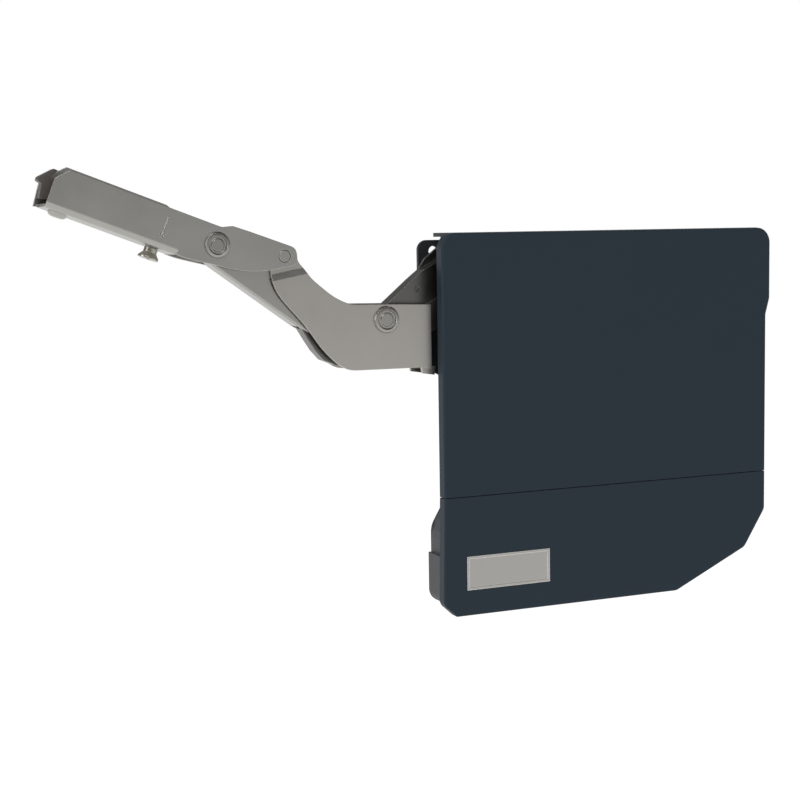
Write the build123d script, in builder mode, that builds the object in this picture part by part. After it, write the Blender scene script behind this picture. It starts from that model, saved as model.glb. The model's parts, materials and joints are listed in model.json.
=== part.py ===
from build123d import *
from math import cos, hypot, radians, sin
import os

# A lift support for the upward opening flap of a wall cabinet, with its arm fully open.
# X runs from the cabinet front to its back, Y runs into the cabinet side wall, Z is up.
# The origin lies on the wall face, midway between the two upper fixing holes.
# Millimetres.

os.makedirs("parts", exist_ok=True)

# Housing, its places counted from a corner just behind the cover's top front one
depth = 32.0
front = -88.0
top = 9.0
cover_height = 190.0
cover_front = -1.4
cover_width = 191.2
lower_width = 188.8
step_top = 37.4
step_bottom = 46.0
seam_drop = 130.0
seam_gap = 0.4
slope_start = cover_height - 39.2
slope_knee = (lower_width - 12.7, cover_height - 19.5)
slope_end = lower_width - 55.6
foot_corner = 4.6
foot_bulge = 1.0
foot_rise = 6.5
foot_round = 5.0
slope_round = 5.0
step_round = 6.0
cover_wall = 2.0
cover_lip = 6.0
cover_corner = 8.0
cover_round = 1.0
peg_radius = 2.5
plate = 2.0
fit = 0.05
running = 0.3

# Fixing holes in the wall plate
hole_radius = 2.6
access_radius = 4.6
upper_hole_inset = 8.0
upper_hole_spacing = 160.0
upper_hole_drop = 9.0
lower_hole_inset = 24.0
lower_hole_spacing = 96.0
lower_hole_drop = cover_height - 13.0

# Arm, all of it stacked about one middle plane
arm_depth = 17.25
sheet = 1.6
scissor_half = 4.0
scissor_sheet = 1.8
joggle = 0.8
link_inner = scissor_half + running
link_half = link_inner + sheet
neck_half = link_half + running + sheet
lever_half = neck_half + joggle
bracket_inner = lever_half + running
bracket_half = bracket_inner + sheet

# Pivots, as distance behind the front edge and height above the cover's top edge
main_pivot = (-27.4, -41.2)
bracket_pivot = (-112.1, -3.7)
neck_pivot = (-79.3, -9.4)
scissor_pivot = (14.7, -18.6)
guide_pivot = (31.6, -20.3)
guide_tip = (-9.5, -44.0)
tie_tip = (-64.9, -37.6)
tie_seat = (-65.7, -38.1)

# Pins and rivets
rivet_shank = 4.0
rivet_head = 6.6
bracket_rivet_head = 6.1
rivet_rise = 1.6
pin_radius = 3.0
tie_pin_radius = 2.0
tie_play = 1.3
guide_play = 0.65
wall_pin_radius = 4.0
bush_wall = 1.4
post_neck = 2.5
post_radius = 4.0

# Spring pack, which lies along the housing
spring_level = -27.0
roller_place = 50.6
roller_radius = 7.0
carriage_travel = 10.3
closing_turn = radians(96.0)
spring_offset = 12.5
spring_radius = 10.0
spring_wire = 2.6
spring_turns = 7
carriage_length = 12.0
carriage_start = 10.4
abutment_place = 145.0
abutment_length = 10.0
rod_radius = 3.2
spindle_radius = 3.5
spindle_head = 5.5
bearing_place = 178.0
bearing_length = 5.0

# Damper
damper_level = -63.0
damper_front = 96.0
damper_length = 60.0
damper_radius = 8.0
damper_bore = 5.5
damper_rod_radius = 2.0
damper_dip = 8.0

# Front bracket details
bend = 2.6
badge_size = (46.5, 17.0)
badge_place = (33.5, 21.5 - cover_height)
badge_thickness = 1.0
badge_sunk = 0.8
badge_rim = 1.2


def at(x, z):
    return (front + x, top + z)


def place(spot, deep):
    return (front + spot[0], deep - depth, top + spot[1])


def layer(deep):
    # The plane at a depth below the cover face, facing away from the wall
    return Plane.XZ.offset(depth - deep)


middle = layer(arm_depth)


def across(spot, deep=arm_depth):
    # A plane through a pivot, radius along x and the pivot's axis along y
    return Plane(origin=place(spot, deep), x_dir=(1, 0, 0), z_dir=(0, 0, 1))


def spin(spot, deep=arm_depth):
    return Axis(place(spot, deep), (0, 1, 0))


def edge_along(x, deep, spot):
    # A plane square to the X axis, x across the housing and y up
    return Plane(origin=(front + x, deep - depth, top + spot), x_dir=(0, 1, 0), z_dir=(1, 0, 0))


def nearest(shapes, spots):
    # The corners of a sketch that lie nearest to some places, counted from the cover corner
    found = []
    for x, z in spots:
        found.append(min(shapes, key=lambda v: hypot(v.X - x, v.Y - z)))
    return ShapeList(found)


def bore(spots, radius, plane=middle, reach=40.0):
    with BuildSketch(plane) as holes:
        with Locations(*[at(*spot) for spot in spots]):
            Circle(radius)
    extrude(holes.sketch, amount=reach, both=True, mode=Mode.SUBTRACT)


def keep(piece, name):
    piece.part.label = name
    export_step(piece.part, f"parts/{name}.step")


def housing_outline(inset):
    # The whole outline of the two cover halves together, shrunk by inset
    with BuildLine() as lines:
        Polyline(
            at(cover_front, -seam_drop),
            at(cover_front, 0),
            at(cover_width, 0),
            at(cover_width, -step_top),
            at(lower_width, -step_bottom),
            at(lower_width, -slope_start),
            at(slope_knee[0], -slope_knee[1]),
            at(slope_end, -cover_height),
            at(foot_corner, -cover_height),
            at(cover_front - foot_bulge, -cover_height + foot_rise),
            close=True,
        )
    with BuildSketch() as outline:
        make_face(lines.edges())
        corners = outline.vertices()
        fillet(nearest(corners, [at(cover_front, 0), at(cover_width, 0)]), cover_corner)
        corners = outline.vertices()
        fillet(nearest(corners, [at(cover_width, -step_top), at(lower_width, -step_bottom)]), step_round)
        slope = [at(lower_width, -slope_start), at(slope_knee[0], -slope_knee[1]), at(slope_end, -cover_height)]
        corners = outline.vertices()
        fillet(nearest(corners, slope), slope_round)
        corners = outline.vertices()
        fillet(nearest(corners, [at(cover_front - foot_bulge, -cover_height + foot_rise)]), foot_round)
        corners = outline.vertices()
        fillet(nearest(corners, [at(foot_corner, -cover_height)]), foot_round / 4)
        if inset:
            offset(amount=-inset, kind=Kind.INTERSECTION)
    return outline.sketch


def rivet(spot, grip, shank, head, rise):
    # A rivet with a raised ring and a flat middle on each head
    with BuildPart() as made:
        with BuildSketch(across(spot)):
            for side in (1, -1):
                with BuildLine():
                    Polyline(
                        (0, 0),
                        (0, side * (grip + 0.75 * rise)),
                        (0.45 * head, side * (grip + 0.75 * rise)),
                        (0.52 * head, side * (grip + 0.45 * rise)),
                        (0.66 * head, side * (grip + 0.45 * rise)),
                        (0.74 * head, side * (grip + rise)),
                        (0.92 * head, side * (grip + 0.9 * rise)),
                        (head, side * (grip + 0.3 * rise)),
                        (head, side * grip),
                        (shank, side * grip),
                        (shank, 0),
                        close=True,
                    )
                make_face()
        revolve(axis=spin(spot))
    return made


def flush_pin(spot, low, high, radius, rim=0.4):
    # A straight pin between two depths below the cover face
    with BuildPart() as made:
        with BuildSketch(layer(high)):
            with Locations(at(*spot)):
                Circle(radius)
        extrude(amount=high - low)
        chamfer(made.edges().filter_by(GeomType.CIRCLE), rim)
    return made


def bushes(spot, spans, inner, outer):
    # Plain rings on a pin, each between two depths
    with BuildPart() as made:
        for low, high in spans:
            with BuildSketch(layer(high)):
                with Locations(at(*spot)):
                    Circle(outer)
                    Circle(inner, mode=Mode.SUBTRACT)
            extrude(amount=high - low)
    return made


def both_sides(near, far):
    # The two depth spans that lie between two half widths of the arm
    return (
        (arm_depth - far + fit, arm_depth - near - fit),
        (arm_depth + near + fit, arm_depth + far - fit),
    )


plate_foot = 2 - cover_height

# Wall plate, with its ear, its set back front edge and the folded top flange
with BuildPart() as wall_plate:
    with BuildSketch(layer(depth)) as s:
        with BuildLine():
            Polyline(
                at(13, -1.2), at(13, -3.4), at(-0.4, -3.4), at(-0.4, -66), at(13, -73),
                at(13, -136), at(5.3, 41 - cover_height), at(5.3, 9 - cover_height),
                at(14, plate_foot), at(slope_end, plate_foot), at(slope_knee[0] - 1, 1 - slope_knee[1]),
                at(lower_width - 2, -slope_start), at(lower_width - 2, -1.2), close=True,
            )
        make_face()
        corners = [at(-0.4, -3.4), at(-0.4, -66), at(13, -73), at(13, -136), at(5.3, 9 - cover_height)]
        fillet(nearest(s.vertices(), corners), 5.0)
        fillet(nearest(s.vertices(), [at(5.3, 41 - cover_height)]), 12.0)
    extrude(amount=plate)
    with BuildSketch(layer(depth)):
        with BuildLine():
            Polyline(
                at(9, -1.9), at(lower_width - 2, -1.9), at(lower_width - 2, 0.1), at(9, 0.1), close=True
            )
        make_face()
    extrude(amount=depth - cover_lip - running)
    fixing = [(upper_hole_inset + n * upper_hole_spacing, -upper_hole_drop) for n in (0, 1)]
    fixing += [(lower_hole_inset + n * lower_hole_spacing, -lower_hole_drop) for n in (0, 1)]
    bore(fixing, hole_radius)
    post_spots = [
        (52, -6.5), (80, -84), (lower_width - 6, -60), (lower_width - 6, -120), (130, -120),
        (20, 40 - cover_height), (120, 30 - cover_height), (50, -130),
    ]
    bore(post_spots, post_neck)
    bore([scissor_pivot, guide_pivot], wall_pin_radius)
keep(wall_plate, "wall_plate")

# Mechanism plate, which carries the other ends of the pins behind the cover
with BuildPart() as mechanism_plate:
    with BuildSketch(layer(cover_wall + plate)):
        add(housing_outline(cover_wall + running))
    extrude(amount=plate)
    bore(post_spots, post_neck)
    bore([scissor_pivot, guide_pivot], wall_pin_radius)
    peg_spots = [(12, -60), (12, -120), (90, -14), (lower_width - 16, -60), (90, -124)]
    lower_pegs = [(14, -140), (lower_width - 16, -140), (60, -150), (112, 8 - cover_height)]
    bore(peg_spots + lower_pegs, peg_radius)
    bore(fixing[1:], access_radius)
keep(mechanism_plate, "mechanism_plate")

# Posts riveted between the two plates
with BuildPart() as spacer_posts:
    for spot in post_spots:
        with BuildSketch(layer(depth)):
            with Locations(at(*spot)):
                Circle(post_neck)
        extrude(amount=depth - cover_wall)
        with BuildSketch(layer(depth - plate)):
            with Locations(at(*spot)):
                Circle(post_radius)
        extrude(amount=depth - 2 * plate - cover_wall)
keep(spacer_posts, "spacer_posts")


def cover_half(upper, pegs):
    # A shallow moulded cover with a lip, open towards the wall
    side = 1 if upper else -1
    half_height = cover_height
    half_middle = -seam_drop + side * (half_height + seam_gap) / 2
    with BuildPart() as made:
        with BuildSketch(layer(cover_lip)):
            add(housing_outline(0))
            with Locations(at(cover_width / 2, half_middle)):
                Rectangle(2 * cover_width, half_height, mode=Mode.INTERSECT)
        extrude(amount=cover_lip)
        rim = made.faces().sort_by(Axis.Y)[0].edges()
        seam_edge = rim.sort_by(Axis.Z)[0 if upper else -1]
        fillet([e for e in rim if e != seam_edge], cover_round)
        with BuildSketch(layer(cover_lip)):
            add(housing_outline(cover_wall))
        extrude(amount=cover_lip - cover_wall, mode=Mode.SUBTRACT)
        with BuildSketch(layer(cover_wall + plate)):
            with Locations(*[at(*spot) for spot in pegs]):
                Circle(peg_radius - fit)
        extrude(amount=plate)
        if not upper:
            with BuildSketch(layer(0)):
                with Locations(at(*badge_place)):
                    Rectangle(badge_size[0] + 2 * fit, badge_size[1] + 2 * fit)
            extrude(amount=-badge_sunk, mode=Mode.SUBTRACT)
    return made


keep(cover_half(True, peg_spots), "cover_upper")
keep(cover_half(False, lower_pegs), "cover_lower")

# Plain badge plate with a raised rim, set in the lower cover
with BuildPart() as badge_plate:
    with BuildSketch(layer(badge_sunk)):
        with Locations(at(*badge_place)):
            Rectangle(*badge_size)
    extrude(amount=badge_thickness)
    with BuildSketch(layer(badge_sunk - badge_thickness)):
        with Locations(at(*badge_place)):
            Rectangle(badge_size[0] - 2 * badge_rim, badge_size[1] - 2 * badge_rim)
    extrude(amount=-0.3, mode=Mode.SUBTRACT)
keep(badge_plate, "badge_plate")

# Moulded block that closes the lower front of the housing
block_top = 28 - cover_height
with BuildPart() as front_block:
    with BuildSketch(layer(depth - plate)) as s:
        with BuildLine():
            Polyline(
                at(2.9, block_top), at(2.9, plate_foot), at(44, plate_foot), at(44, plate_foot + 5),
                at(36, block_top), close=True,
            )
        make_face()
        fillet(nearest(s.vertices(), [at(2.9, plate_foot)]), 7.0)
    extrude(amount=depth - plate - cover_lip - running)
    # The curved front wall that rises from the block
    with BuildSketch(layer(depth - plate)):
        with BuildLine():
            Polyline(
                at(4.9, block_top - 1), at(4.9, block_top + 7.5), at(5.5, block_top + 11.5),
                at(7.3, block_top + 17), at(10, block_top + 21.5), at(14, block_top + 25),
                at(15.5, block_top + 23.5), at(12, block_top + 20), at(9.3, block_top + 15.5),
                at(7.6, block_top + 11), at(7.1, block_top - 1), close=True,
            )
        make_face()
    extrude(amount=depth - plate - cover_lip - running)
    with BuildSketch(layer(depth - plate)) as s:
        with BuildLine():
            Polyline(
                at(8, block_top - 4), at(8, plate_foot + 10), at(12, plate_foot + 5),
                at(38, plate_foot + 5), at(33, block_top - 4), close=True,
            )
        make_face()
        with Locations(at(lower_hole_inset, -lower_hole_drop)):
            Circle(access_radius + 2.4, mode=Mode.SUBTRACT)
    extrude(amount=18, mode=Mode.SUBTRACT)
    bore([(lower_hole_inset, -lower_hole_drop)], access_radius)
keep(front_block, "front_block")

# Main lever, a pressed channel with a joggled front end and a web along its curved neck
neck_curve = [
    (-38.0, -33.6), (-45.7, -33.1), (-51.3, -31.0), (-56.3, -28.0), (-61.3, -24.0), (-66.3, -19.4),
    (-69.7, -14.8), (-71.6, -12.4),
]
neck_ends = ((-1, 0.03), (-0.6, 1))
web_start = -46.5
left_curve = [
    (-85.5, -17.0), (-79.1, -31.5), (-68.4, -43.6), (-58.5, -56.6), (-49.4, -63.8), (-42.0, -65.2),
]
joggle_line = ((-88.0, -18.6), (-66.0, -14.6))
joggle_run = 3.0
neck_boss = 5.2
ear_thickness = lever_half - link_half - running - sheet / 2


def lever_outline():
    with BuildLine() as lines:
        Polyline(at(-3.5, -34.6), at(-20, -34.0), at(*neck_curve[0]))
        Spline(*[at(*spot) for spot in neck_curve], tangents=neck_ends)
        Line(at(*neck_curve[-1]), at(-75.0, neck_pivot[1] + neck_boss - 1))
        Polyline(
            at(-75.0, neck_pivot[1] + neck_boss - 1),
            at(-82.5, neck_pivot[1] + neck_boss - 1),
            at(-86.0, -9.5),
            at(*left_curve[0]),
        )
        Spline(*[at(*spot) for spot in left_curve], tangents=((0.05, -1), (1, 0)))
        Polyline(at(*left_curve[-1]), at(-7.5, -65.4), at(-3.5, -66.2), at(-3.5, -34.6))
    make_face(lines.edges())


def below_joggle(lift):
    # Everything on the lever below the joggle line, moved up by lift
    (x1, z1), (x2, z2) = joggle_line
    with BuildLine() as lines:
        Polyline(at(x1, z1 + lift), at(x2, z2 + lift), at(4, -30), at(4, -90), at(-100, -90), close=True)
    make_face(lines.edges(), mode=Mode.INTERSECT)


with BuildPart() as main_lever:
    with BuildSketch(middle):
        lever_outline()
    extrude(amount=neck_half, both=True)
    with BuildSketch(middle):
        lever_outline()
        below_joggle(0)
    extrude(amount=lever_half, both=True)
    line_mid = at((joggle_line[0][0] + joggle_line[1][0]) / 2, (joggle_line[0][1] + joggle_line[1][1]) / 2)
    for side in (0, -1):
        outer = main_lever.faces().filter_by(Axis.Y).sort_by(Axis.Y)[side]
        step = outer.edges().sort_by(lambda e: hypot(e.center().X - line_mid[0], e.center().Z - line_mid[1]))[0]
        chamfer(step, joggle_run, joggle - 0.05, reference=outer)
    with BuildSketch(middle):
        lever_outline()
    extrude(amount=neck_half - sheet, both=True, mode=Mode.SUBTRACT)
    with BuildSketch(middle):
        lever_outline()
        below_joggle(-joggle_run / 2)
    extrude(amount=lever_half - sheet, both=True, mode=Mode.SUBTRACT)
    with BuildSketch(middle):
        with BuildLine():
            under = [(spot[0] - 0.9, spot[1] - 1.3) for spot in neck_curve]
            Spline(*[at(*spot) for spot in neck_curve], tangents=neck_ends)
            Spline(*[at(*spot) for spot in under], tangents=neck_ends)
            Line(at(*under[0]), at(*neck_curve[0]))
            Line(at(*under[-1]), at(*neck_curve[-1]))
        make_face()
        with BuildLine():
            Polyline(at(web_start, 0), at(web_start, -60), at(-100, -60), at(-100, 0), close=True)
        make_face(mode=Mode.INTERSECT)
    extrude(amount=neck_half - sheet / 2, both=True)
    # Curled ears under the back end, which stop the scissor lever from leaning sideways
    for side in (1, -1):
        with BuildSketch(layer(arm_depth + side * (link_half + running))):
            with BuildLine():
                Polyline(
                    at(-8.9, -61), at(-8.7, -65), at(-8.2, -68.4), at(-1.7, -69.4), at(-1.1, -65.3),
                    at(-4.2, -64.6), at(-4.2, -61), close=True,
                )
            make_face()
        extrude(amount=-side * ear_thickness)
    bore([main_pivot], rivet_shank)
    bore([neck_pivot], pin_radius + fit)
keep(main_lever, "main_lever")

# Scissor lever, a narrow channel between all the others
with BuildPart() as scissor_lever:
    scissor_points = [
        (-27.5, -36.0), (-10.9, -22.2), (-5.3, -17.9), (2.4, -14.0), (14.7, -8.6), (24.0, -18.6),
        (17.9, -27.4), (9.3, -29.4),
        (-15.6, -43.0), (-18.5, -50), (-30.5, -54.5), (-39.5, -58.8), (-51.8, -62.6), (-58.3, -60.0),
        (-62.5, -55.4), (-66.6, -49.1), (-70.1, -43.3), (-71.9, -39.8), (-71.8, -36), (-66.5, -32.2),
        (-60, -33.4), (-47, -38.8), (-37.5, -37.8),
    ]
    with BuildSketch(middle) as s:
        with BuildLine():
            Polyline(*[at(*spot) for spot in scissor_points], close=True)
        make_face()
        soft = [scissor_points[n] for n in (4, 5, 6)]
        fillet(nearest(s.vertices(), [at(*spot) for spot in soft]), 5.5)
        soft = [scissor_points[n] for n in (8, 9, 10, 12, 13, 15, 18, 19, 21, 22)]
        fillet(nearest(s.vertices(), [at(*spot) for spot in soft]), 2.5)
    extrude(amount=scissor_half, both=True)
    # The hollow leaves a web under the upper edge and another along the lower left edge
    with BuildSketch(middle):
        with BuildLine():
            Polyline(
                at(-28.7, -39.5), at(-9.8, -23.7), at(-4.4, -19.5), at(3.0, -15.9), at(16, -8), at(30, 0),
                at(30, -30), at(10, -50), at(-18, -70), at(-48, -70), at(-49.5, -61.6), at(-57.0, -58.4),
                at(-61.2, -54.3), at(-65.2, -48.1), at(-67.5, -44.3), at(-80, -44), at(-80, -20),
                at(-45, -20), close=True,
            )
        make_face()
    extrude(amount=scissor_half - scissor_sheet, both=True, mode=Mode.SUBTRACT)
    # The wall side stands higher above the housing pivot
    with BuildSketch(layer(arm_depth + scissor_half)):
        with BuildLine():
            Polyline(
                at(-5.3, -17.9), at(-1.6, -12.3), at(5.4, -7.1), at(11, -4.8), at(17, -8.5), at(14.7, -14),
                at(2.4, -17), close=True,
            )
        make_face()
    extrude(amount=scissor_sheet)
    bore([main_pivot], rivet_shank + fit)
    bore([scissor_pivot], wall_pin_radius + fit)
    bore([tie_seat], tie_pin_radius + tie_play)
    bore([(-8.8, -27.1)], 1.4, layer(arm_depth - scissor_half), 1.0)
keep(scissor_lever, "scissor_lever")

# Tie link, a channel with its web along the lower edge
tie_low = [(-116.5, -10.9), (-112.5, -13.8), (-71.9, -43.0)]
with BuildPart() as tie_link:
    tie_points = [
        (-118.5, -7.5), tie_low[1], tie_low[2], (-66.4, -46.0), (-58.5, -43.5), (-57.2, -33.5),
        (-64, -26), (-100, -1), (-106.0, 3.0), (-114.5, 3.4), (-119.5, -1.5),
    ]
    with BuildSketch(middle) as s:
        with BuildLine():
            Polyline(*[at(*spot) for spot in tie_points], close=True)
        make_face()
        fillet(nearest(s.vertices(), [at(*tie_points[n]) for n in (0, 4, 5, 6, 8, 9, 10)]), 3.0)
    extrude(amount=link_half, both=True)
    with BuildSketch(middle):
        with BuildLine():
            Polyline(
                at(-130, -1.8), at(-112.5, -11.9), at(-76, -38.2), at(-72.5, -41.0), at(-70, -50),
                at(-50, -50), at(-50, 10), at(-130, 10), close=True,
            )
        make_face()
    extrude(amount=link_inner, both=True, mode=Mode.SUBTRACT)
    bore([bracket_pivot], rivet_shank + fit)
    bore([tie_tip], tie_pin_radius)
    web_edges = tie_link.edges().filter_by(
        lambda e: abs(abs(e.center().Y + depth - arm_depth) - link_half) < 0.01
    )
    line_mid = at((tie_low[1][0] + tie_low[2][0]) / 2, (tie_low[1][1] + tie_low[2][1]) / 2)
    web_edges = web_edges.sort_by(lambda e: hypot(e.center().X - line_mid[0], e.center().Z - line_mid[1]))
    fillet(web_edges[0:2], 1.2)
keep(tie_link, "tie_link")

# Guide lever, whose back edge is the cam that pushes the roller


def cam_points(count):
    # Where the roller touches the lever while it turns, seen from the lever at rest
    spots = []
    for n in range(count):
        share = n / (count - 1)
        turn = closing_turn * share
        x = roller_place + carriage_travel * share - guide_pivot[0]
        z = spring_level - guide_pivot[1]
        # The roller path in the lever's own frame and its direction there
        path_x = x * cos(turn) + z * sin(turn)
        path_z = -x * sin(turn) + z * cos(turn)
        rate = carriage_travel / closing_turn
        way_x = rate * cos(turn) - x * sin(turn) + z * cos(turn)
        way_z = -rate * sin(turn) - x * cos(turn) - z * sin(turn)
        size = hypot(way_x, way_z)
        reach = roller_radius + running
        spots.append(
            (guide_pivot[0] + path_x + reach * way_z / size, guide_pivot[1] + path_z - reach * way_x / size)
        )
    return spots


cam = cam_points(7)
cam_shrink = 0.86
with BuildPart() as guide_lever:
    with BuildSketch(middle) as s:
        with BuildLine():
            Spline(*[at(*spot) for spot in cam])
            Polyline(
                at(*cam[-1]), at(16, -38), at(-6, -50.5), at(-16, -47), at(-16, -41), at(-11.5, -37.5),
                at(13, -26.3), at(17.5, -25.4), at(25, -15), at(28, -10.5), at(36, -10.5), at(41.5, -16), at(*cam[0]),
            )
        make_face()
        corners = [(16, -38), (-6, -50.5), (-16, -47), (-16, -41), (-11.5, -37.5), (28, -10.5), (36, -10.5)]
        fillet(nearest(s.vertices(), [at(*spot) for spot in corners]), 2.5)
    extrude(amount=link_half, both=True)
    # The hollow leaves only the curved web that the roller runs on
    inner_cam = [
        (guide_pivot[0] + (x - guide_pivot[0]) * cam_shrink, guide_pivot[1] + (z - guide_pivot[1]) * cam_shrink)
        for x, z in cam
    ]
    with BuildSketch(middle):
        with BuildLine():
            Spline(*[at(*spot) for spot in inner_cam])
            Polyline(
                at(*inner_cam[-1]), at(inner_cam[-1][0] - 0.5, -60), at(-30, -60), at(-30, 0), at(60, 0),
                at(60, inner_cam[0][1] + 0.5), at(*inner_cam[0]),
            )
        make_face()
    extrude(amount=link_inner, both=True, mode=Mode.SUBTRACT)
    bore([guide_pivot], wall_pin_radius + fit)
    bore([guide_tip], pin_radius + guide_play)
keep(guide_lever, "guide_lever")

# Front bracket, a channel open to the flap, with a rounded web from its tip to behind the screw
bracket_low = [(-190.3, 14.6), (-127.2, -9.3), (-113.5, -12.8), (-99.1, -15.9), (-84.4, -15.6), (-77.0, -14.3)]
web_end = -131.5
bracket_top = [(-185.5, 27.1), (-178.7, 30.5), (-109.7, 4.5), (-104.3, 4.9), (-96.1, 2.2), (-76.7, -4.7)]


def bracket_outline():
    with BuildLine() as lines:
        Polyline(*[at(*spot) for spot in bracket_top])
        Spline(at(*bracket_top[-1]), at(-73.2, -9.2), at(*bracket_low[-1]), tangents=((0.95, -0.3), (-1, 0.02)))
        Spline(
            *[at(*spot) for spot in reversed(bracket_low[1:])],
            tangents=((-1, -0.15), (-0.96, 0.28)),
        )
        Polyline(at(*bracket_low[1]), at(*bracket_low[0]), at(*bracket_top[0]))
    make_face(lines.edges())


web_run = bracket_low[1][0] - bracket_low[0][0]
web_rise = bracket_low[0][1] - bracket_low[1][1]
web_length = hypot(web_run, web_rise)
web_way = (-web_run / web_length, web_rise / web_length)
web_up = (web_rise / web_length, web_run / web_length)


def web_height(x):
    # Height of the web's outer face at a distance behind the front edge
    return bracket_low[1][1] + (bracket_low[1][0] - x) * web_rise / web_run


screw_spot = (-140.3, web_height(-140.3))
screw_head = 4.9
screw_stem = 3.2
screw_thread = 2.15
dimple_spot = (-182.9, web_height(-182.9))
catch_pivot = (-184.6, 20.5)
catch_pin_radius = 1.6

with BuildPart() as front_bracket:
    with BuildSketch(middle) as s:
        bracket_outline()
        fillet(nearest(s.vertices(), [at(*bracket_top[n]) for n in (0, 1, 2, 3)]), 2.0)
    extrude(amount=bracket_half, both=True)
    tip_plane = Plane(
        origin=place(bracket_low[0], arm_depth), x_dir=(0, 1, 0), z_dir=(-web_way[0], 0, -web_way[1])
    )
    with BuildSketch(tip_plane.offset(-5)):
        for side in (1, -1):
            with Locations((side * (bracket_half - bend / 2), bend / 2)):
                Rectangle(bend, bend)
            with Locations((side * (bracket_half - bend), bend)):
                Circle(bend, mode=Mode.SUBTRACT)
    extrude(amount=5 + (web_end - bracket_low[0][0]) * web_length / web_run, mode=Mode.SUBTRACT)
    # The wall side runs a little further at the tip and stands higher along the flap side
    with BuildSketch(layer(arm_depth + bracket_half)):
        with BuildLine():
            Polyline(
                at(-191.8, 15.1), at(-188.7, 26.0), at(-181.5, 30.3), at(-176.0, 32.6), at(-130.0, 15.2),
                at(-124.0, 9.9), at(-124, 0), at(-180, 14), close=True,
            )
        make_face()
    extrude(amount=sheet)
    with BuildSketch(middle):
        bracket_outline()
        with BuildLine():
            Polyline(at(-200, 0), at(-200, 50), at(-60, 50), at(-60, -30), at(-100, -30), close=True)
        make_face()
        with BuildLine():
            web_skin = sheet * web_length / web_run
            Polyline(
                at(web_end, web_height(web_end) + web_skin), at(web_end, web_height(web_end) - 10), at(-200, -10),
                at(-200, web_height(-200) + web_skin), close=True,
            )
        make_face(mode=Mode.SUBTRACT)
    extrude(amount=bracket_inner, both=True, mode=Mode.SUBTRACT)
    bore([bracket_pivot], rivet_shank)
    bore([neck_pivot], pin_radius)
    # The pressed button under the tip, and the threaded hole of the screw
    dimple_plane = Plane(
        origin=place(dimple_spot, arm_depth), x_dir=(0, 1, 0), z_dir=(-web_up[0], 0, -web_up[1])
    )
    for height, radius in ((-0.4, 4.8), (1.0, 4.2), (2.0, 2.4)):
        with BuildSketch(dimple_plane.offset(height)):
            Circle(radius)
    loft()
    screw_plane = Plane(
        origin=place(screw_spot, arm_depth), x_dir=(0, 1, 0), z_dir=(web_up[0], 0, web_up[1])
    )
    with BuildSketch(screw_plane):
        Circle(screw_thread + fit)
    extrude(amount=6, both=True, mode=Mode.SUBTRACT)
keep(front_bracket, "front_bracket")

# Adjusting screw through the web of the bracket
with BuildPart() as adjusting_screw:
    with BuildSketch(screw_plane.offset(-4.7)):
        Circle(screw_head)
    with BuildSketch(screw_plane.offset(-2.5)):
        Circle(screw_stem)
    loft()
    with BuildSketch(screw_plane.offset(-4.7)):
        Circle(screw_head)
    extrude(amount=-0.8)
    with BuildSketch(screw_plane.offset(-2.5)):
        Circle(screw_stem)
    extrude(amount=2.5 - running)
    with BuildSketch(screw_plane.offset(-2.5)):
        Circle(screw_thread)
    extrude(amount=10.0)
    with BuildSketch(screw_plane.offset(-5.5)):
        Rectangle(5.2, 1.3)
        Rectangle(1.3, 5.2)
    extrude(amount=1.4, mode=Mode.SUBTRACT)
keep(adjusting_screw, "adjusting_screw")

# Catch inside the tip of the bracket, which hooks the flap plate, on its cross pin
catch_half = 2.8
catch_points = [
    (-191.4, 18.6), (-190.0, 25.1), (-192.0, 26.4), (-191.3, 28.0), (-184.2, 31.5), (-182.4, 30.6),
    (-186.6, 27.6), (-181.0, 25.2), (-176.0, 24.0), (-150.0, 15.0), (-150.0, 12.4), (-180.0, 16.4),
]
with BuildPart() as catch_plate:
    with BuildSketch(middle) as s:
        with BuildLine():
            Polyline(*[at(*spot) for spot in catch_points], close=True)
        make_face()
        fillet(nearest(s.vertices(), [at(*catch_points[n]) for n in (2, 3, 4, 6, 9, 10)]), 0.8)
    extrude(amount=catch_half, both=True)
    bore([catch_pivot], catch_pin_radius + fit)
keep(catch_plate, "catch_plate")
catch_span = (arm_depth - bracket_inner, arm_depth + bracket_inner)
keep(flush_pin(catch_pivot, *catch_span, catch_pin_radius, 0.2), "catch_pin")

# Rivets, pins and bushes of the arm
keep(rivet(main_pivot, lever_half, rivet_shank, rivet_head, rivet_rise), "main_rivet")
keep(rivet(bracket_pivot, bracket_half, rivet_shank, bracket_rivet_head, rivet_rise), "bracket_rivet")
keep(flush_pin(neck_pivot, arm_depth - bracket_half, arm_depth + bracket_half, pin_radius), "neck_pin")
guide_span = (arm_depth - lever_half + sheet, arm_depth + lever_half - sheet)
keep(flush_pin(guide_tip, *guide_span, pin_radius), "guide_pin")
keep(flush_pin(tie_tip, arm_depth - link_half, arm_depth + link_half, tie_pin_radius), "tie_pin")
main_spans = both_sides(scissor_half, lever_half - sheet)
keep(bushes(main_pivot, main_spans, rivet_shank + fit, rivet_shank + bush_wall), "main_bushes")
bracket_spans = both_sides(link_half, bracket_inner)
keep(bushes(bracket_pivot, bracket_spans, rivet_shank + fit, rivet_shank + bush_wall), "bracket_bushes")
neck_spans = both_sides(neck_half, bracket_inner)
keep(bushes(neck_pivot, neck_spans, pin_radius + fit, pin_radius + bush_wall), "neck_bushes")
guide_spans = both_sides(link_half, lever_half - sheet)
keep(bushes(guide_tip, guide_spans, pin_radius + fit, pin_radius + bush_wall), "guide_bushes")

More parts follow.
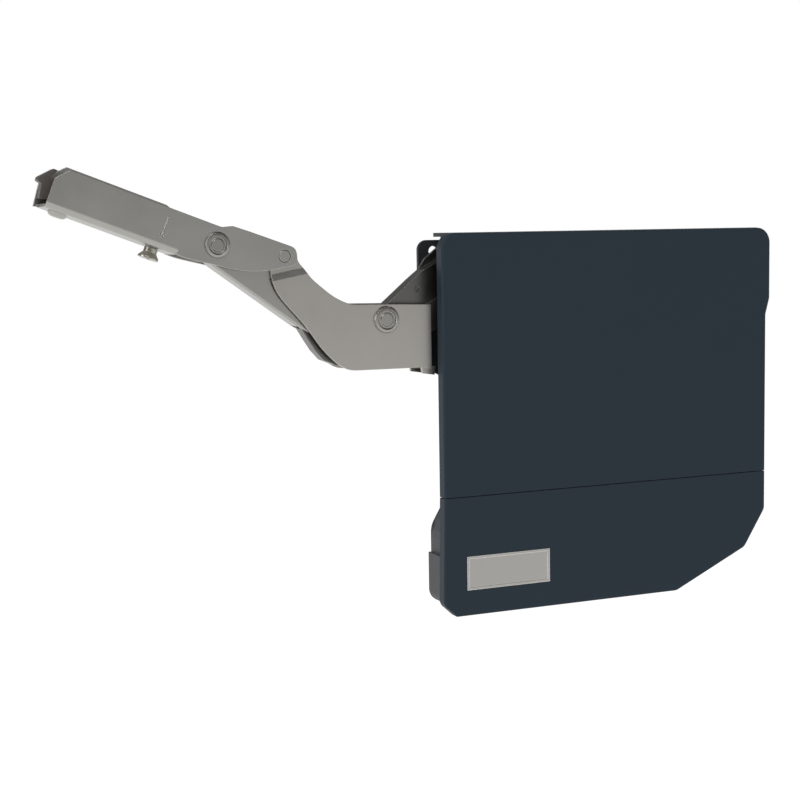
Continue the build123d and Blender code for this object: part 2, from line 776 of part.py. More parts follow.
# Housing pins and their bushes
keep(flush_pin(scissor_pivot, cover_wall, depth, wall_pin_radius), "scissor_wall_pin")
keep(flush_pin(guide_pivot, cover_wall, depth, wall_pin_radius), "guide_wall_pin")
plate_near = cover_wall + plate
plate_far = depth - plate
scissor_spans = (
    (plate_near + fit, arm_depth - scissor_half - fit),
    (arm_depth + scissor_half + fit, plate_far - fit),
)
keep(
    bushes(scissor_pivot, scissor_spans, wall_pin_radius + fit, wall_pin_radius + bush_wall), "scissor_wall_bushes"
)
guide_wall_spans = (
    (plate_near + fit, arm_depth - link_half - fit),
    (arm_depth + link_half + fit, plate_far - fit),
)
keep(
    bushes(guide_pivot, guide_wall_spans, wall_pin_radius + fit, wall_pin_radius + bush_wall), "guide_wall_bushes"
)

# Cam roller and the carriage that the springs push
roller_spot = (roller_place, spring_level)
roller_half = link_half
fork_wall = 2.4
fork_half = roller_half + running + fork_wall
keep(
    bushes(roller_spot, ((arm_depth - roller_half, arm_depth + roller_half),), pin_radius + fit, roller_radius),
    "cam_roller",
)
keep(flush_pin(roller_spot, arm_depth - fork_half, arm_depth + fork_half, pin_radius), "roller_pin")
carriage_front = roller_place + carriage_start
carriage_back = carriage_front + carriage_length
carriage_high = spring_offset + spring_radius
rod_levels = [spring_level + spring_offset, spring_level - spring_offset]
lug_top = spring_level - carriage_high + 3
lug_foot = damper_level - 6
with BuildPart() as spring_carriage:
    with BuildSketch(middle) as s:
        with BuildLine():
            Polyline(
                at(roller_place - 5.5, spring_level + 5.5), at(roller_place + 3, spring_level + 7),
                at(carriage_front, spring_level + carriage_high), at(carriage_back, spring_level + carriage_high),
                at(carriage_back, spring_level - carriage_high), at(carriage_front, spring_level - carriage_high),
                at(roller_place + 3, spring_level - 7), at(roller_place - 5.5, spring_level - 5.5), close=True,
            )
        make_face()
        fillet(s.vertices(), 1.5)
    extrude(amount=fork_half, both=True)
    with BuildSketch(middle):
        with BuildLine():
            Polyline(
                at(roller_place - 12, spring_level + 24), at(carriage_front - 0.5, spring_level + 24),
                at(carriage_front - 0.5, spring_level - 24), at(roller_place - 12, spring_level - 24), close=True,
            )
        make_face()
    extrude(amount=roller_half + running, both=True, mode=Mode.SUBTRACT)
    bore([roller_spot], pin_radius)
    # Lug for the damper rod
    with BuildSketch(edge_along(carriage_front, arm_depth, (lug_top + lug_foot) / 2)):
        Rectangle(2 * fork_half, lug_top - lug_foot)
    extrude(amount=carriage_length)
    for level in rod_levels:
        with BuildSketch(edge_along(carriage_front, arm_depth, level)):
            Circle(rod_radius)
        extrude(amount=carriage_length + 1, mode=Mode.SUBTRACT)
    with BuildSketch(edge_along(carriage_back - damper_dip, arm_depth, damper_level)):
        Circle(damper_rod_radius)
    extrude(amount=damper_dip + 1, mode=Mode.SUBTRACT)
keep(spring_carriage, "spring_carriage")

rod_end = abutment_place + abutment_length + 2
with BuildPart() as guide_rods:
    for level in rod_levels:
        with BuildSketch(edge_along(carriage_front, arm_depth, level)):
            Circle(rod_radius)
        extrude(amount=rod_end - carriage_front)
keep(guide_rods, "guide_rods")

# Two compression springs of square wire


def coil_spring(level):
    length = abutment_place - carriage_back - 2 * running
    mean = spring_radius - spring_wire / 2
    turn_pitch = (length - spring_wire) / spring_turns
    start = carriage_back + running + spring_wire / 2
    with BuildPart() as made:
        with BuildLine():
            path = Helix(
                pitch=turn_pitch,
                height=length - spring_wire,
                radius=mean,
                center=(front + start, arm_depth - depth, top + level),
                direction=(1, 0, 0),
            )
        with BuildSketch(Plane(origin=path @ 0, x_dir=(1, 0, 0), z_dir=path % 0)):
            Rectangle(spring_wire, spring_wire)
        sweep(path=path, is_frenet=True)
    return made


keep(coil_spring(rod_levels[0]), "upper_spring")
keep(coil_spring(rod_levels[1]), "lower_spring")

# Sliding abutment behind the springs, and the spindle that sets it
with BuildPart() as rear_abutment:
    with BuildSketch(edge_along(abutment_place, (plate_near + plate_far) / 2, spring_level)) as s:
        Rectangle(plate_far - plate_near - 2 * running, 2 * carriage_high)
        fillet(s.vertices(), 2.0)
    extrude(amount=abutment_length)
    for level in rod_levels:
        with BuildSketch(edge_along(abutment_place, arm_depth, level)):
            Circle(rod_radius + fit)
        extrude(amount=abutment_length, mode=Mode.SUBTRACT)
    with BuildSketch(edge_along(abutment_place, arm_depth, spring_level)):
        Circle(spindle_radius + fit)
    extrude(amount=abutment_length, mode=Mode.SUBTRACT)
keep(rear_abutment, "rear_abutment")

with BuildPart() as spindle_bearing:
    with BuildSketch(edge_along(bearing_place, (plate_near + plate_far) / 2, spring_level)) as s:
        Rectangle(plate_far - plate_near, 17)
    extrude(amount=bearing_length)
    with BuildSketch(edge_along(bearing_place, arm_depth, spring_level)):
        Circle(spindle_radius + fit)
    extrude(amount=bearing_length, mode=Mode.SUBTRACT)
keep(spindle_bearing, "spindle_bearing")

with BuildPart() as tension_spindle:
    with BuildSketch(edge_along(abutment_place, arm_depth, spring_level)):
        Circle(spindle_radius)
    extrude(amount=bearing_place + bearing_length - abutment_place + 1)
    with BuildSketch(edge_along(bearing_place + bearing_length + fit, arm_depth, spring_level)):
        Circle(spindle_head)
    extrude(amount=3.0)
    with BuildSketch(edge_along(bearing_place - 2.5 - fit, arm_depth, spring_level)):
        Circle(spindle_head)
    extrude(amount=2.5)
    with BuildSketch(edge_along(bearing_place + bearing_length + 1.6, arm_depth, spring_level)):
        Rectangle(6.4, 1.2)
        Rectangle(1.2, 6.4)
    extrude(amount=4.0, mode=Mode.SUBTRACT)
keep(tension_spindle, "tension_spindle")

# Damper that catches the closing arm, in its moulded holder
with BuildPart() as damper_holder:
    with BuildSketch(edge_along(damper_front + 12, (plate_near + plate_far) / 2, damper_level)) as s:
        Rectangle(plate_far - plate_near, 2 * damper_radius + 6)
        fillet(s.vertices(), 2.0)
    extrude(amount=damper_length - 20)
    with BuildSketch(edge_along(damper_front + 12, arm_depth, damper_level)):
        Circle(damper_radius)
    extrude(amount=damper_length - 20, mode=Mode.SUBTRACT)
keep(damper_holder, "damper_holder")

with BuildPart() as damper_cylinder:
    with BuildSketch(edge_along(damper_front, arm_depth, damper_level)):
        Circle(damper_radius)
    extrude(amount=damper_length)
    with BuildSketch(edge_along(damper_front + 3, arm_depth, damper_level)):
        Circle(damper_bore)
    extrude(amount=damper_length - 6, mode=Mode.SUBTRACT)
    with BuildSketch(edge_along(damper_front, arm_depth, damper_level)):
        Circle(damper_rod_radius + fit)
    extrude(amount=4, mode=Mode.SUBTRACT)
keep(damper_cylinder, "damper_cylinder")

with BuildPart() as damper_rod:
    with BuildSketch(edge_along(carriage_back - damper_dip, arm_depth, damper_level)):
        Circle(damper_rod_radius)
    extrude(amount=damper_front + 12 - carriage_back + damper_dip)
    with BuildSketch(edge_along(damper_front + 12, arm_depth, damper_level)):
        Circle(damper_bore - fit)
    extrude(amount=4)
keep(damper_rod, "damper_rod")
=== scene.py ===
# A lift support for the upward opening flap of a wall cabinet, with its arm fully open.
# X runs from the cabinet front to its back, Y runs into the cabinet side wall, Z is up, in metres.
import json
from math import radians

import bmesh
import bpy
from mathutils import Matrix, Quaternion, Vector


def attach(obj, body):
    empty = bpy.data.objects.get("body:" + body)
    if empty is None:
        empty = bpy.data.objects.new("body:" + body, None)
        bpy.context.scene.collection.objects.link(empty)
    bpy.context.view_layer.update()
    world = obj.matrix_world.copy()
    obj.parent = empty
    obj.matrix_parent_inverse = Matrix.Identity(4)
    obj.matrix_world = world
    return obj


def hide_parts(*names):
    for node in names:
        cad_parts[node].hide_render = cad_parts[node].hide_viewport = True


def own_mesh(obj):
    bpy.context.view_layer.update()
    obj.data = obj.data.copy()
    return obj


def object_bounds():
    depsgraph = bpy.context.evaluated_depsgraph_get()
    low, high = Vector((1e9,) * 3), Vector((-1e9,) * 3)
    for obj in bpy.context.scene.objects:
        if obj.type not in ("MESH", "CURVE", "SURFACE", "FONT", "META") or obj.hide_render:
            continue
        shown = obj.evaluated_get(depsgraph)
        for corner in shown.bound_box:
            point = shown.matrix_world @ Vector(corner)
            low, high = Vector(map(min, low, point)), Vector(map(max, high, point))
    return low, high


MM = 0.001

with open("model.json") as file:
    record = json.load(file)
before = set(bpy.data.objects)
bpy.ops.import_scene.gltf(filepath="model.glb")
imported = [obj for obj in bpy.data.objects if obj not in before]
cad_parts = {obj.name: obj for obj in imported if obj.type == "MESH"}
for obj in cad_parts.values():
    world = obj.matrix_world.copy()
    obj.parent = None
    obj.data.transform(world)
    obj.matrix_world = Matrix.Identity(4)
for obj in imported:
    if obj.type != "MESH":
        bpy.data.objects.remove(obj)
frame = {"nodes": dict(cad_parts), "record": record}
cad_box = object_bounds()

# Places are counted from a corner just behind the cover's top front one
FRONT = -88.0 * MM
TOP = 9.0 * MM
DEPTH = 32.0 * MM
ARM_DEPTH = 17.25 * MM

# Camera, as the photograph was taken
CAMERA_PLACE = (-0.4231, -0.7451, 0.0107)
CAMERA_FORWARD = (0.39699, 0.91189, -0.10415)
CAMERA_ROLL = -0.95
CAMERA_LENS = 72.94

# What the gloss shows of the room: from, to, and the brightness at both, along each axis
GLOSS_LEFT = (-0.9, -0.5, 0.45, 1.0)
GLOSS_BACK = (0.3, 0.8, 1.0, 2.2)
GLOSS_HEIGHT = (-0.45, 0.3, 1.15, 0.12)

# Arrow on the bracket's near wall, its bars from start to end in the plane of the wall
ARROW_STARTS = ((-134.6, 9.6), (-139.2, 2.7), (-136.0, 2.0))
ARROW_ENDS = ((-138.4, 0.3), (-138.4, 0.0), (-138.4, 0.0))
ARROW_DEPTH = 6.78 * MM
ARROW_WIDTH = 0.8 * MM
ARROW_RISE = 0.12 * MM

# Bevelled normals: samples, and the turns between which the edge mask starts and is full; the mask
# marks rubbed wear, and on the badge a painted highlight
BEVEL_SAMPLES = 6
EDGE_MASK_START = 0.985
EDGE_MASK_FULL = 0.75

# How a kind of surface varies: scale and amount of its tone, width of its edge mask (rubbed wear,
# and on the badge a painted highlight), how far its roughness goes below and above its middle, and
# strength and depth of its relief
PLATED = {
    "tone": (45.0, 0.22),
    "edge_width": 0.7 * MM,
    "spread": (0.05, 0.06),
    "relief": (0.12, 0.02 * MM),
}
COATED = {
    "tone": (80.0, 0.25),
    "edge_width": 0.5 * MM,
    "spread": (0.06, 0.08),
    "relief": (0.2, 0.03 * MM),
}
MOULDED = {
    "tone": (14.0, 0.12),
    "edge_width": 0.6 * MM,
    "spread": (0.04, 0.05),
    "relief": (0.25, 0.025 * MM),
}
COATING_FINENESS = 1500.0
PLASTIC_WEAR_OFFSET = 0.01

# Noise of the groups: the clouds' detail, roughness and middle range, the strands' stretch along
# the rolling and their detail, the grain's detail
CLOUD_DETAIL = 5.0
CLOUD_ROUGHNESS = 0.6
CLOUD_LOW = 0.25
CLOUD_HIGH = 0.75
STRAND_STRETCH = (0.02, 1.0, 1.0)
STRAND_DETAIL = 3.0
GRAIN_DETAIL = 2.0

# Floor below the lift: how far down, half its width, its share of plain white and that white's glow
FLOOR_DROP = 0.16
FLOOR_SIZE = 4.0
FLOOR_SHARE = 0.9
FLOOR_GLOW = 1.1

# Light: soft room, and the lamps' places, sizes and powers
ROOM_COLOUR = (0.96, 0.98, 1.0, 1)
ROOM_STRENGTH = 0.55
LAMP_TARGET = (-0.05, -0.016, -0.05)
LAMPS = (
    ("key", (-0.6, -1.1, 1.0), (0.9, 0.9), 9.0),
    ("side", (-1.4, -0.2, 0.35), (0.5, 0.9), 5.0),
    ("back", (0.9, 0.9, 0.7), (0.8, 0.8), 5.0),
)

# Finishes, as colours on a screen from 0 to 255; the scissor's and the link's hold painted shade
COVER_COLOUR = (38, 49, 58)
BLOCK_COLOUR = (68, 71, 74)
PLATE_COLOUR = (44, 47, 51)
LEVER_COLOUR = (180, 177, 171)
BRACKET_COLOUR = (170, 169, 164)
# The scissor's colour is the plated steel made darker: painted shade of the cover over the
# housing's mouth
SHADED_SCISSOR_COLOUR = (112, 111, 108)
# The link's colour is the bracket's plated steel made darker: painted shade from inside the main
# lever
SHADED_LINK_COLOUR = (134, 133, 130)
RIVET_COLOUR = (160, 158, 153)
BUSH_COLOUR = (140, 139, 136)
ROLLER_COLOUR = (200, 199, 196)
CATCH_COLOUR = (96, 90, 87)
SCREW_COLOUR = (176, 172, 163)
ROD_COLOUR = (200, 199, 196)
SPRING_COLOUR = (100, 100, 102)
BADGE_COLOUR = (168, 166, 163)
DAMPER_COLOUR = (34, 34, 37)
FLOOR_COLOUR = (236, 236, 236)


def screen(colour):
    """A screen colour as the linear one that a shader takes."""
    shares = [channel / 255 for channel in colour]
    linear = [c / 12.92 if c <= 0.04045 else ((c + 0.055) / 1.055) ** 2.4 for c in shares]
    return (*linear, 1.0)


def spot(x, z, depth=ARM_DEPTH):
    """A place in the row frame from millimetres behind the front edge and above the top edge."""
    return Vector((FRONT + x * MM, depth - DEPTH, TOP + z * MM))


# Shader groups


def new_group(name, inputs, outputs):
    """A shader group with its sockets, and the nodes that its values enter and leave by."""
    group = bpy.data.node_groups.new(name, "ShaderNodeTree")
    for label, kind, value in inputs:
        socket = group.interface.new_socket(label, in_out="INPUT", socket_type=kind)
        socket.default_value = value
    for label, kind in outputs:
        group.interface.new_socket(label, in_out="OUTPUT", socket_type=kind)
    entry = group.nodes.new("NodeGroupInput")
    leave = group.nodes.new("NodeGroupOutput")
    return group, entry, leave


def soft_edge_group():
    """A normal that rounds sharp corners, and a mask of the corners where a finish wears and, on
    the badge, where a highlight is painted.
    """
    group, entry, leave = new_group(
        "soft edge",
        [("Radius", "NodeSocketFloat", 0.3 * MM), ("Wear Width", "NodeSocketFloat", 0.5 * MM)],
        [("Normal", "NodeSocketVector"), ("Edge", "NodeSocketFloat")],
    )
    nodes, links = group.nodes, group.links
    rounded = nodes.new("ShaderNodeBevel")
    rounded.samples = BEVEL_SAMPLES
    wide = nodes.new("ShaderNodeBevel")
    wide.samples = BEVEL_SAMPLES
    surface = nodes.new("ShaderNodeNewGeometry")
    dot = nodes.new("ShaderNodeVectorMath")
    dot.operation = "DOT_PRODUCT"
    spread = nodes.new("ShaderNodeMapRange")
    spread.inputs["From Min"].default_value = EDGE_MASK_START
    spread.inputs["From Max"].default_value = EDGE_MASK_FULL
    links.new(entry.outputs["Radius"], rounded.inputs["Radius"])
    links.new(entry.outputs["Wear Width"], wide.inputs["Radius"])
    links.new(wide.outputs["Normal"], dot.inputs[0])
    links.new(surface.outputs["Normal"], dot.inputs[1])
    links.new(dot.outputs["Value"], spread.inputs["Value"])
    links.new(rounded.outputs["Normal"], leave.inputs["Normal"])
    links.new(spread.outputs["Result"], leave.inputs["Edge"])
    return group


def mottle_group():
    """Slow and fine changes of tone, as a plated or moulded surface has."""
    group, entry, leave = new_group(
        "mottle",
        [
            ("Colour", "NodeSocketColor", (0.5, 0.5, 0.5, 1)),
            ("Scale", "NodeSocketFloat", 60.0),
            ("Amount", "NodeSocketFloat", 0.08),
        ],
        [("Colour", "NodeSocketColor"), ("Value", "NodeSocketFloat")],
    )
    nodes, links = group.nodes, group.links
    place = nodes.new("ShaderNodeTexCoord")
    cloud = nodes.new("ShaderNodeTexNoise")
    cloud.inputs["Detail"].default_value = CLOUD_DETAIL
    cloud.inputs["Roughness"].default_value = CLOUD_ROUGHNESS
    tone = nodes.new("ShaderNodeMath")
    tone.operation = "MULTIPLY_ADD"
    centred = nodes.new("ShaderNodeMath")
    centred.operation = "SUBTRACT"
    centred.inputs[1].default_value = 0.5
    tinted = nodes.new("ShaderNodeVectorMath")
    tinted.operation = "SCALE"
    links.new(place.outputs["Object"], cloud.inputs["Vector"])
    links.new(entry.outputs["Scale"], cloud.inputs["Scale"])
    links.new(cloud.outputs["Fac"], centred.inputs[0])
    links.new(centred.outputs["Value"], tone.inputs[0])
    links.new(entry.outputs["Amount"], tone.inputs[1])
    tone.inputs[2].default_value = 1.0
    links.new(entry.outputs["Colour"], tinted.inputs[0])
    links.new(tone.outputs["Value"], tinted.inputs["Scale"])
    links.new(tinted.outputs["Vector"], leave.inputs["Colour"])
    links.new(cloud.outputs["Fac"], leave.inputs["Value"])
    return group


def rolled_lines_group():
    """Fine lines along one direction, as rolled and brushed sheet steel has."""
    group, entry, leave = new_group(
        "rolled lines",
        [("Slant", "NodeSocketVector", (0, 0, 0)), ("Fineness", "NodeSocketFloat", 1400.0)],
        [("Height", "NodeSocketFloat")],
    )
    nodes, links = group.nodes, group.links
    place = nodes.new("ShaderNodeTexCoord")
    turned = nodes.new("ShaderNodeMapping")
    turned.inputs["Scale"].default_value = STRAND_STRETCH
    strands = nodes.new("ShaderNodeTexNoise")
    strands.inputs["Detail"].default_value = STRAND_DETAIL
    links.new(place.outputs["Object"], turned.inputs["Vector"])
    links.new(entry.outputs["Slant"], turned.inputs["Rotation"])
    links.new(turned.outputs["Vector"], strands.inputs["Vector"])
    links.new(entry.outputs["Fineness"], strands.inputs["Scale"])
    links.new(strands.outputs["Fac"], leave.inputs["Height"])
    return group


def grain_group():
    """The fine even grain of a moulded cover."""
    group, entry, leave = new_group(
        "moulded grain",
        [("Fineness", "NodeSocketFloat", 2200.0)],
        [("Height", "NodeSocketFloat")],
    )
    nodes, links = group.nodes, group.links
    place = nodes.new("ShaderNodeTexCoord")
    grain = nodes.new("ShaderNodeTexNoise")
    grain.inputs["Detail"].default_value = GRAIN_DETAIL
    links.new(place.outputs["Object"], grain.inputs["Vector"])
    links.new(entry.outputs["Fineness"], grain.inputs["Scale"])
    links.new(grain.outputs["Fac"], leave.inputs["Height"])
    return group


SOFT_EDGE = soft_edge_group()
MOTTLE = mottle_group()
ROLLED_LINES = rolled_lines_group()
MOULDED_GRAIN = grain_group()


# Materials


def group_node(material, group, **values):
    """A shader group placed in a material with its own values."""
    node = material.node_tree.nodes.new("ShaderNodeGroup")
    node.node_tree = group
    for label, value in values.items():
        node.inputs[label.replace("_", " ")].default_value = value
    return node


def start_material(name):
    """A new material and its surface shader."""
    material = bpy.data.materials.new(name)
    material.use_nodes = True
    return material, material.node_tree.nodes["Principled BSDF"]


def rough_from(material, value_socket, low, high):
    """Roughness that follows a value between two limits."""
    spread = material.node_tree.nodes.new("ShaderNodeMapRange")
    spread.inputs["From Min"].default_value = CLOUD_LOW
    spread.inputs["From Max"].default_value = CLOUD_HIGH
    spread.inputs["To Min"].default_value = low
    spread.inputs["To Max"].default_value = high
    material.node_tree.links.new(value_socket, spread.inputs["Value"])
    return spread.outputs["Result"]


def rubbed_and_highlit(material, colour_socket, edge_socket, bright, strength):
    """The colour, brighter at the corners: rubbed wear, and on the badge a painted highlight."""
    nodes, links = material.node_tree.nodes, material.node_tree.links
    share = nodes.new("ShaderNodeMath")
    share.operation = "MULTIPLY"
    share.inputs[1].default_value = strength
    blend = nodes.new("ShaderNodeMix")
    blend.data_type = "RGBA"
    links.new(edge_socket, share.inputs[0])
    links.new(share.outputs["Value"], blend.inputs["Factor"])
    links.new(colour_socket, blend.inputs["A"])
    blend.inputs["B"].default_value = bright
    return blend.outputs["Result"]


def bumped(material, height_socket, normal_socket, strength, distance):
    """The normal, roughened by a height."""
    nodes, links = material.node_tree.nodes, material.node_tree.links
    bump = nodes.new("ShaderNodeBump")
    bump.inputs["Strength"].default_value = strength
    bump.inputs["Distance"].default_value = distance
    links.new(height_socket, bump.inputs["Height"])
    links.new(normal_socket, bump.inputs["Normal"])
    return bump.outputs["Normal"]


def brighter(base, lift, offset=0.0):
    """A linear colour, brighter by a factor and an offset."""
    return (*[min(1.0, lift * channel + offset) for channel in base[:3]], 1.0)


def surface(material, shader, kind, base, bright, wear_and_highlight, rough, radius, relief):
    """Joins the tone, wear, roughness and relief of a kind of surface to its shader."""
    links = material.node_tree.links
    scale, amount = kind["tone"]
    below, above = kind["spread"]
    strength, distance = kind["relief"]
    tone = group_node(material, MOTTLE, Colour=base, Scale=scale, Amount=amount)
    edge = group_node(material, SOFT_EDGE, Radius=radius * MM, Wear_Width=kind["edge_width"])
    coloured = rubbed_and_highlit(material, tone.outputs["Colour"], edge.outputs["Edge"], bright, wear_and_highlight)
    roughened = rough_from(material, tone.outputs["Value"], rough - below, rough + above)
    height = relief.outputs["Height"]
    normal = bumped(material, height, edge.outputs["Normal"], strength, distance)
    links.new(coloured, shader.inputs["Base Color"])
    links.new(roughened, shader.inputs["Roughness"])
    links.new(normal, shader.inputs["Normal"])


def plated_steel(name, colour, rough=0.34, lift=1.45, radius=0.35, slant=0.0, wear_and_highlight=0.6):
    """Satin plated sheet steel, with rolling lines and edges brightened as rubbed wear, and on the
    badge as a painted highlight.
    """
    material, shader = start_material(name)
    base = screen(colour)
    shader.inputs["Metallic"].default_value = 1.0
    lines = group_node(material, ROLLED_LINES, Slant=(0, slant, 0))
    surface(material, shader, PLATED, base, brighter(base, lift), wear_and_highlight, rough, radius, lines)
    return material


def coated_sheet(name, colour, rough=0.5, metal=0.3, lift=2.2, radius=0.3, wear_and_highlight=0.5):
    """Dark coated sheet steel with faintly rubbed edges."""
    material, shader = start_material(name)
    base = screen(colour)
    shader.inputs["Metallic"].default_value = metal
    grain = group_node(material, MOULDED_GRAIN, Fineness=COATING_FINENESS)
    surface(material, shader, COATED, base, brighter(base, lift), wear_and_highlight, rough, radius, grain)
    return material


def moulded_plastic(name, colour, rough=0.5, gloss=0.35, lift=1.8, radius=0.5, wear_and_highlight=0.45):
    """Moulded plastic with a fine satin grain."""
    material, shader = start_material(name)
    base = screen(colour)
    bright = brighter(base, lift, PLASTIC_WEAR_OFFSET)
    shader.inputs["Specular IOR Level"].default_value = gloss
    grain = group_node(material, MOULDED_GRAIN)
    surface(material, shader, MOULDED, base, bright, wear_and_highlight, rough, radius, grain)
    return material


def finishes():
    """One material for each slot of the record."""
    return {
        "cover_plastic": moulded_plastic("cover_plastic", COVER_COLOUR, gloss=0.18),
        "block_plastic": moulded_plastic("block_plastic", BLOCK_COLOUR, rough=0.55),
        # The badge's strong edge brightening is a painted highlight on its rim, laid on by the same
        # mask as rubbed wear
        "badge_metal": plated_steel(
            "badge_metal", BADGE_COLOUR, rough=0.3, lift=2.3, radius=0.2, wear_and_highlight=1.0
        ),
        "plate_steel": coated_sheet("plate_steel", PLATE_COLOUR),
        "lever_steel": plated_steel("lever_steel", LEVER_COLOUR, slant=0.15),
        "bracket_steel": plated_steel("bracket_steel", BRACKET_COLOUR, slant=0.36),
        # The link's colour holds painted shade from inside the main lever
        "link_steel": plated_steel("link_steel", SHADED_LINK_COLOUR, slant=-0.5),
        # The scissor's colour holds painted shade of the cover
        "scissor_steel": plated_steel("scissor_steel", SHADED_SCISSOR_COLOUR, slant=-0.5),
        "rivet_steel": plated_steel("rivet_steel", RIVET_COLOUR, rough=0.28),
        "bush_steel": plated_steel("bush_steel", BUSH_COLOUR, rough=0.35),
        "roller_steel": plated_steel("roller_steel", ROLLER_COLOUR, rough=0.2),
        "catch_steel": coated_sheet("catch_steel", CATCH_COLOUR, rough=0.45, metal=0.6),
        "screw_steel": plated_steel("screw_steel", SCREW_COLOUR, rough=0.3),
        "rod_steel": plated_steel("rod_steel", ROD_COLOUR, rough=0.22),
        "spring_steel": plated_steel("spring_steel", SPRING_COLOUR, rough=0.32),
        "post_steel": plated_steel("post_steel", BUSH_COLOUR, rough=0.36),
        "abutment_steel": coated_sheet("abutment_steel", PLATE_COLOUR, rough=0.42, metal=0.7),
        "carriage_plastic": moulded_plastic("carriage_plastic", BLOCK_COLOUR, rough=0.48),
        "damper_plastic": moulded_plastic("damper_plastic", DAMPER_COLOUR, rough=0.3, gloss=0.5),
    }


def dress(materials):
    """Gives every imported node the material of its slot."""
    slots = {entry["node"]: entry["material_slot"] for entry in frame["record"]["subparts"]}
    for name, node in frame["nodes"].items():
        node.data.materials.clear()
        node.data.materials.append(materials[slots[name]])


# Pieces made here


def finished(name, shape, slot, body):
    """A mesh object from a bmesh, in place, riding on a body, with the finish of a slot."""
    mesh = bpy.data.meshes.new(name)
    bmesh.ops.recalc_face_normals(shape, faces=shape.faces)
    shape.to_mesh(mesh)
    shape.free()
    mesh.materials.append(materials[slot])
    piece = bpy.data.objects.new(name, mesh)
    bpy.context.scene.collection.objects.link(piece)
    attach(piece, body)
    return piece


def arrow_mark():
    """The raised arrow on the near wall of the bracket, which shows the way to clip the flap."""
    shape = bmesh.new()
    for start, end in zip(ARROW_STARTS, ARROW_ENDS):
        low = spot(*start, ARROW_DEPTH)
        high = spot(*end, ARROW_DEPTH)
        way = (high - low).normalized()
        side = Vector((-way.z, 0, way.x)) * ARROW_WIDTH / 2
        lift = Vector((0, -ARROW_RISE, 0))
        corners = (low - side, high - side, high + side, low + side)
        foot = [shape.verts.new(place) for place in corners]
        crest = [shape.verts.new(place + lift) for place in (low, high)]
        shape.faces.new((foot[0], foot[1], crest[1], crest[0]))
        shape.faces.new((foot[2], foot[3], crest[0], crest[1]))
        shape.faces.new((foot[1], foot[2], crest[1]))
        shape.faces.new((foot[3], foot[0], crest[0]))
        shape.faces.new(foot[::-1])
    finished("arrow_mark", shape, "bracket_steel", "bracket")


def sprung_coils():
    """The springs as copies of their imported coils, riding on the housing, with the originals
    hidden; the real springs shorten towards the rear abutment as the carriage comes back.
    """
    for name in ("upper_spring", "lower_spring"):
        shape = bmesh.new()
        shape.from_mesh(frame["nodes"][name].data)
        piece = finished(name + "_coils", shape, "spring_steel", "housing")
        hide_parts(name)
        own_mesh(piece)


def pale_floor():
    """A wide floor below the lift, white to the camera, which keeps the object's shadow."""
    material, shader = start_material("pale_floor")
    nodes, links = material.node_tree.nodes, material.node_tree.links
    shader.inputs["Base Color"].default_value = screen(FLOOR_COLOUR)
    shader.inputs["Roughness"].default_value = 0.9
    seen = nodes.new("ShaderNodeLightPath")
    either = nodes.new("ShaderNodeMath")
    either.operation = "MAXIMUM"
    share = nodes.new("ShaderNodeMath")
    share.operation = "MULTIPLY"
    share.inputs[1].default_value = FLOOR_SHARE
    glow = nodes.new("ShaderNodeEmission")
    glow.inputs["Strength"].default_value = FLOOR_GLOW
    mixed = nodes.new("ShaderNodeMixShader")
    links.new(seen.outputs["Is Camera Ray"], either.inputs[0])
    links.new(seen.outputs["Is Glossy Ray"], either.inputs[1])
    links.new(either.outputs["Value"], share.inputs[0])
    links.new(share.outputs["Value"], mixed.inputs["Fac"])
    links.new(shader.outputs["BSDF"], mixed.inputs[1])
    links.new(glow.outputs["Emission"], mixed.inputs[2])
    links.new(mixed.outputs["Shader"], nodes["Material Output"].inputs["Surface"])
    shape = bmesh.new()
    bmesh.ops.create_grid(shape, x_segments=1, y_segments=1, size=FLOOR_SIZE)
    low = cad_box[0][2] - FLOOR_DROP
    bmesh.ops.translate(shape, verts=shape.verts, vec=(0, 0, low))
    mesh = bpy.data.meshes.new("floor")
    shape.to_mesh(mesh)
    shape.free()
    mesh.materials.append(material)
    floor = bpy.data.objects.new("floor", mesh)
    bpy.context.scene.collection.objects.link(floor)


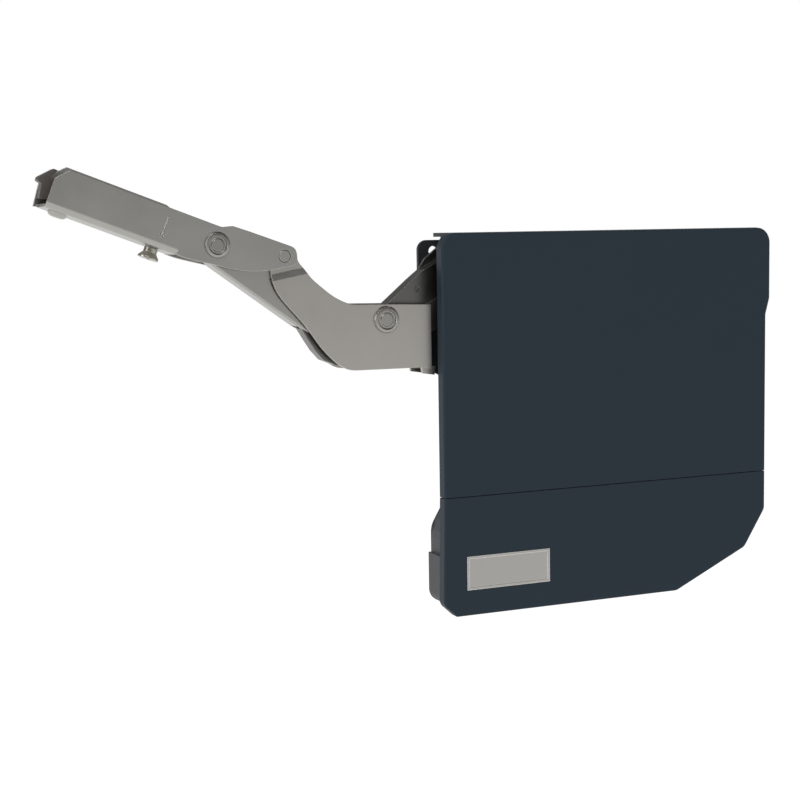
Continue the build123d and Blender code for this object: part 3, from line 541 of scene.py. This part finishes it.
def white_room():
    """A world that lights softly and is white behind the lift, with a graded room in its gloss."""
    world = bpy.data.worlds.new("studio")
    bpy.context.scene.world = world
    world.use_nodes = True
    nodes, links = world.node_tree.nodes, world.node_tree.links
    soft = nodes["Background"]
    soft.inputs["Color"].default_value = ROOM_COLOUR
    soft.inputs["Strength"].default_value = ROOM_STRENGTH
    white = nodes.new("ShaderNodeBackground")
    graded = nodes.new("ShaderNodeBackground")
    for ground in (white, graded):
        ground.inputs["Color"].default_value = (1, 1, 1, 1)
    place = nodes.new("ShaderNodeTexCoord")
    parts = nodes.new("ShaderNodeSeparateXYZ")
    links.new(place.outputs["Generated"], parts.inputs["Vector"])
    strength = None
    for axis, limits in zip("XYZ", (GLOSS_LEFT, GLOSS_BACK, GLOSS_HEIGHT)):
        spread = nodes.new("ShaderNodeMapRange")
        spread.interpolation_type = "SMOOTHSTEP"
        for label, value in zip(("From Min", "From Max", "To Min", "To Max"), limits):
            spread.inputs[label].default_value = value
        links.new(parts.outputs[axis], spread.inputs["Value"])
        if strength is None:
            strength = spread.outputs["Result"]
            continue
        product = nodes.new("ShaderNodeMath")
        product.operation = "MULTIPLY"
        links.new(strength, product.inputs[0])
        links.new(spread.outputs["Result"], product.inputs[1])
        strength = product.outputs["Value"]
    links.new(strength, graded.inputs["Strength"])
    seen = nodes.new("ShaderNodeLightPath")
    clear = nodes.new("ShaderNodeMath")
    clear.operation = "MAXIMUM"
    behind = nodes.new("ShaderNodeMixShader")
    mixed = nodes.new("ShaderNodeMixShader")
    links.new(seen.outputs["Is Camera Ray"], clear.inputs[0])
    links.new(seen.outputs["Is Transmission Ray"], clear.inputs[1])
    links.new(clear.outputs["Value"], behind.inputs["Fac"])
    links.new(soft.outputs["Background"], behind.inputs[1])
    links.new(white.outputs["Background"], behind.inputs[2])
    links.new(seen.outputs["Is Glossy Ray"], mixed.inputs["Fac"])
    links.new(behind.outputs["Shader"], mixed.inputs[1])
    links.new(graded.outputs["Background"], mixed.inputs[2])
    links.new(mixed.outputs["Shader"], nodes["World Output"].inputs["Surface"])


def soft_lamp(name, place, size, power):
    """An area lamp that points at the middle of the lift."""
    lamp = bpy.data.lights.new(name, "AREA")
    lamp.shape = "RECTANGLE"
    lamp.size, lamp.size_y = size
    lamp.energy = power
    lamp_object = bpy.data.objects.new(name, lamp)
    bpy.context.scene.collection.objects.link(lamp_object)
    lamp_object.location = place
    way = Vector(LAMP_TARGET) - Vector(place)
    lamp_object.rotation_euler = way.to_track_quat("-Z", "Y").to_euler()


def camera():
    """The camera where the photograph was taken from."""
    roll = Quaternion((0, 0, 1), radians(CAMERA_ROLL))
    aim = Vector(CAMERA_FORWARD).to_track_quat("-Z", "Y") @ roll
    lens = bpy.data.cameras.new("camera")
    lens.lens = CAMERA_LENS
    lens.sensor_width = 36.0
    lens.clip_start = 0.01
    eye = bpy.data.objects.new("camera", lens)
    eye.location = CAMERA_PLACE
    eye.rotation_euler = aim.to_euler()
    bpy.context.scene.collection.objects.link(eye)
    bpy.context.scene.camera = eye


camera()
white_room()
for lamp_values in LAMPS:
    soft_lamp(*lamp_values)
pale_floor()
materials = finishes()
dress(materials)
arrow_mark()
sprung_coils()

bpy.context.scene.view_settings.view_transform = "Standard"
